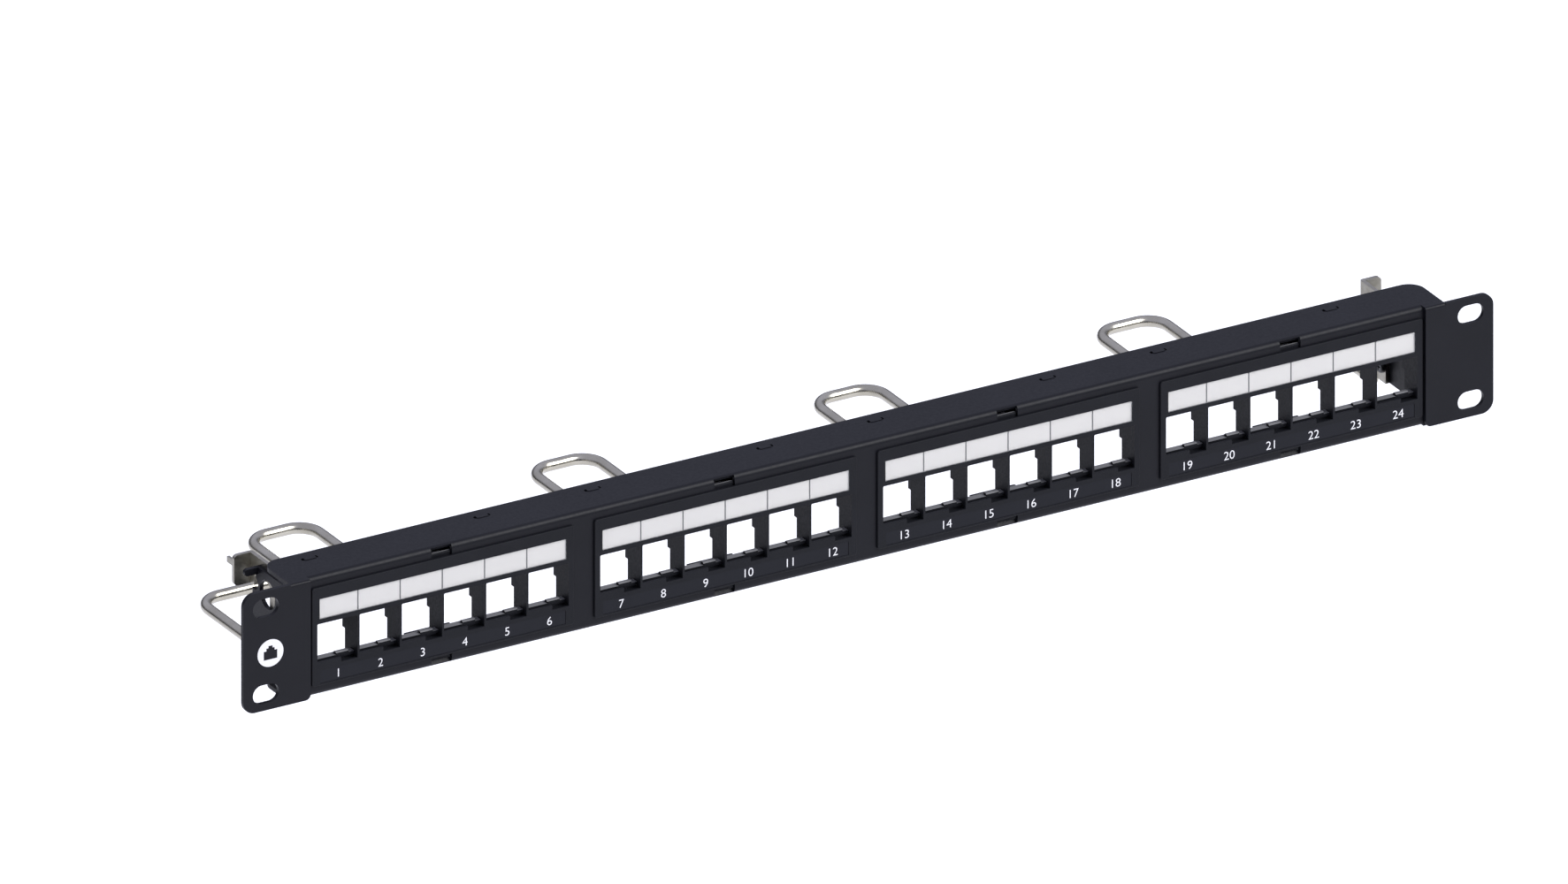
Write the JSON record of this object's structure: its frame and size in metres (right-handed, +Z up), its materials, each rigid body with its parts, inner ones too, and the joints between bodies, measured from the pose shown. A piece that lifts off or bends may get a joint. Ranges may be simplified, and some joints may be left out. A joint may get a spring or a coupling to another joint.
{
  "type": "patch panel",
  "caption": "One-unit rack patch panel with snap-in keystone modules, label and number strips, and a looped wire cable bar behind.",
  "frame": {"origin": "centre of the front face of the rack ears, midway between the four rack slots", "axes": "+X to the panel's right seen from the front, +Y to the rear, +Z up"},
  "size_m": [0.4826, 0.114, 0.0444],
  "materials": {
    "black_steel": "fine matt powder coat",
    "black_plastic": "matt moulded",
    "number_plastic": "satin",
    "label_card": "matt printed card",
    "clear_plastic": "clear",
    "polished_wire": "polished, nickel plated",
    "zinc_plate": "zinc plated, satin",
    "black_screw": "black oxide",
    "print_white": "printed ink"
  },
  "bodies": {
    "panel": {"frame_panel": "black_steel", "ear_bracket_left": "black_steel", "ear_bracket_right": "black_steel", "cable_bar": "polished_wire", "bar_bracket_left": "zinc_plate", "bar_bracket_right": "zinc_plate", "bar_screws": "black_screw", "bar_nuts": "zinc_plate"},
    "module_1": {"module_bezel_1": "black_plastic", "label_strip_1": "label_card", "number_strip_1": "number_plastic"},
    "upper_latch_1": {"latch_top_1": "black_plastic"},
    "lower_latch_1": {"latch_bottom_1": "black_plastic"},
    "cover_1": {"label_window_1": "clear_plastic"},
    "module_2": {"module_bezel_2": "black_plastic", "label_strip_2": "label_card", "number_strip_2": "number_plastic"},
    "upper_latch_2": {"latch_top_2": "black_plastic"},
    "lower_latch_2": {"latch_bottom_2": "black_plastic"},
    "cover_2": {"label_window_2": "clear_plastic"},
    "module_3": {"module_bezel_3": "black_plastic", "label_strip_3": "label_card", "number_strip_3": "number_plastic"},
    "upper_latch_3": {"latch_top_3": "black_plastic"},
    "lower_latch_3": {"latch_bottom_3": "black_plastic"},
    "cover_3": {"label_window_3": "clear_plastic"},
    "module_4": {"module_bezel_4": "black_plastic", "label_strip_4": "label_card", "number_strip_4": "number_plastic"},
    "upper_latch_4": {"latch_top_4": "black_plastic"},
    "lower_latch_4": {"latch_bottom_4": "black_plastic"},
    "cover_4": {"label_window_4": "clear_plastic"}
  },
  "joints": [
    {"name": "module_1_pull", "type": "slide", "parent": "panel", "child": "module_1", "axis": [0, -1, 0], "range_m": [0, 0.03]},
    {"name": "upper_latch_1_press", "type": "hinge", "parent": "module_1", "child": "upper_latch_1", "pos_m": [-0.1638, 0.01, 0.0152], "axis": [1, 0, 0], "range_deg": [0, 7], "stiffness_Nm_per_rad": 0.5},
    {"name": "lower_latch_1_press", "type": "hinge", "parent": "module_1", "child": "lower_latch_1", "pos_m": [-0.1638, 0.01, -0.0152], "axis": [-1, 0, 0], "range_deg": [0, 7], "stiffness_Nm_per_rad": 0.5},
    {"name": "cover_1_lift_off", "type": "slide", "parent": "module_1", "child": "cover_1", "axis": [0, -1, 0], "range_m": [0, 0.012]},
    {"name": "module_2_pull", "type": "slide", "parent": "panel", "child": "module_2", "axis": [0, -1, 0], "range_m": [0, 0.03]},
    {"name": "upper_latch_2_press", "type": "hinge", "parent": "module_2", "child": "upper_latch_2", "pos_m": [-0.0546, 0.01, 0.0152], "axis": [1, 0, 0], "range_deg": [0, 7], "stiffness_Nm_per_rad": 0.5},
    {"name": "lower_latch_2_press", "type": "hinge", "parent": "module_2", "child": "lower_latch_2", "pos_m": [-0.0546, 0.01, -0.0152], "axis": [-1, 0, 0], "range_deg": [0, 7], "stiffness_Nm_per_rad": 0.5},
    {"name": "cover_2_lift_off", "type": "slide", "parent": "module_2", "child": "cover_2", "axis": [0, -1, 0], "range_m": [0, 0.012]},
    {"name": "module_3_pull", "type": "slide", "parent": "panel", "child": "module_3", "axis": [0, -1, 0], "range_m": [0, 0.03]},
    {"name": "upper_latch_3_press", "type": "hinge", "parent": "module_3", "child": "upper_latch_3", "pos_m": [0.0546, 0.01, 0.0152], "axis": [1, 0, 0], "range_deg": [0, 7], "stiffness_Nm_per_rad": 0.5},
    {"name": "lower_latch_3_press", "type": "hinge", "parent": "module_3", "child": "lower_latch_3", "pos_m": [0.0546, 0.01, -0.0152], "axis": [-1, 0, 0], "range_deg": [0, 7], "stiffness_Nm_per_rad": 0.5},
    {"name": "cover_3_lift_off", "type": "slide", "parent": "module_3", "child": "cover_3", "axis": [0, -1, 0], "range_m": [0, 0.012]},
    {"name": "module_4_pull", "type": "slide", "parent": "panel", "child": "module_4", "axis": [0, -1, 0], "range_m": [0, 0.03]},
    {"name": "upper_latch_4_press", "type": "hinge", "parent": "module_4", "child": "upper_latch_4", "pos_m": [0.1638, 0.01, 0.0152], "axis": [1, 0, 0], "range_deg": [0, 7], "stiffness_Nm_per_rad": 0.5},
    {"name": "lower_latch_4_press", "type": "hinge", "parent": "module_4", "child": "lower_latch_4", "pos_m": [0.1638, 0.01, -0.0152], "axis": [-1, 0, 0], "range_deg": [0, 7], "stiffness_Nm_per_rad": 0.5},
    {"name": "cover_4_lift_off", "type": "slide", "parent": "module_4", "child": "cover_4", "axis": [0, -1, 0], "range_m": [0, 0.012]}
  ]
}
